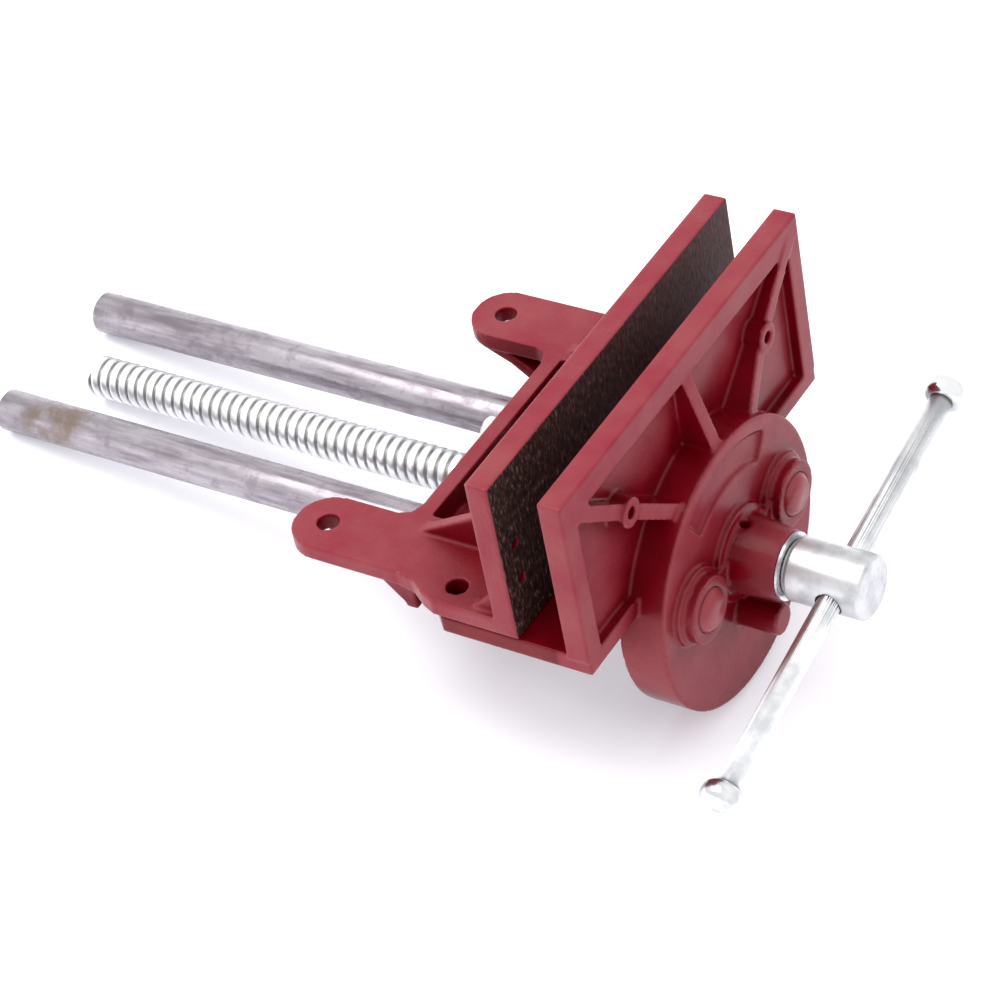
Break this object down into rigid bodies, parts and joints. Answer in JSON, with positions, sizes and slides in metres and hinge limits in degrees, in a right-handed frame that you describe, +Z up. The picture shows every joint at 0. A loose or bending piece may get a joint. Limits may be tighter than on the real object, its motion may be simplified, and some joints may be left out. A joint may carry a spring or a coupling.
{
  "type": "bench vise",
  "caption": "Woodworking bench vise: two cast jaws on twin guide rods, closed by a threaded screw with a sliding tommy bar.",
  "frame": {"origin": "centre plane of the vise, at the rear jaw's clamping face (Y = 0) and the height of the bench seat on top of the lugs (Z = 0)", "axes": "+X along the jaws, +Y back under the bench along the screw, +Z up; the four bench holes all run along Z"},
  "size_m": [0.2555, 0.48, 0.197],
  "materials": {
    "enamel": "gloss enamel on sand-cast iron",
    "nut_iron": "as cast, tapped",
    "bright_steel": "bright drawn",
    "zinc_plate": "bright zinc plate",
    "fastener_zinc": "zinc plated fasteners"
  },
  "bodies": {
    "body": {"rear_jaw_casting": "enamel", "nut": "nut_iron", "nut_bolts": "fastener_zinc", "nut_washers": "fastener_zinc"},
    "front_jaw": {"front_jaw_casting": "enamel", "guide_rod_left": "bright_steel", "guide_rod_right": "bright_steel", "rod_pins": "bright_steel"},
    "screw": {"lead_screw": "zinc_plate", "retaining_collar": "bright_steel", "collar_pin": "bright_steel", "thrust_washer": "bright_steel", "screw_head": "zinc_plate", "head_pin": "zinc_plate"},
    "bar": {"tommy_bar": "zinc_plate", "bar_knob_low": "zinc_plate", "bar_knob_high": "zinc_plate"}
  },
  "joints": [
    {"name": "jaw_slide", "type": "slide", "parent": "body", "child": "front_jaw", "axis": [0, -1, 0], "range_m": [-0.0245, 0.225]},
    {"name": "screw_turn", "type": "hinge", "parent": "front_jaw", "child": "screw", "pos_m": [0, -0.106, -0.034], "axis": [0, -1, 0], "range_deg": [-1475, 13505]},
    {"name": "bar_slide", "type": "slide", "parent": "screw", "child": "bar", "axis": [0.9823, 0, 0.1874], "range_m": [-0.095, 0.105]}
  ],
  "couplings": [
    {"joint": "screw_turn", "follows": "jaw_slide", "rad_per_m": 1047.2}
  ]
}
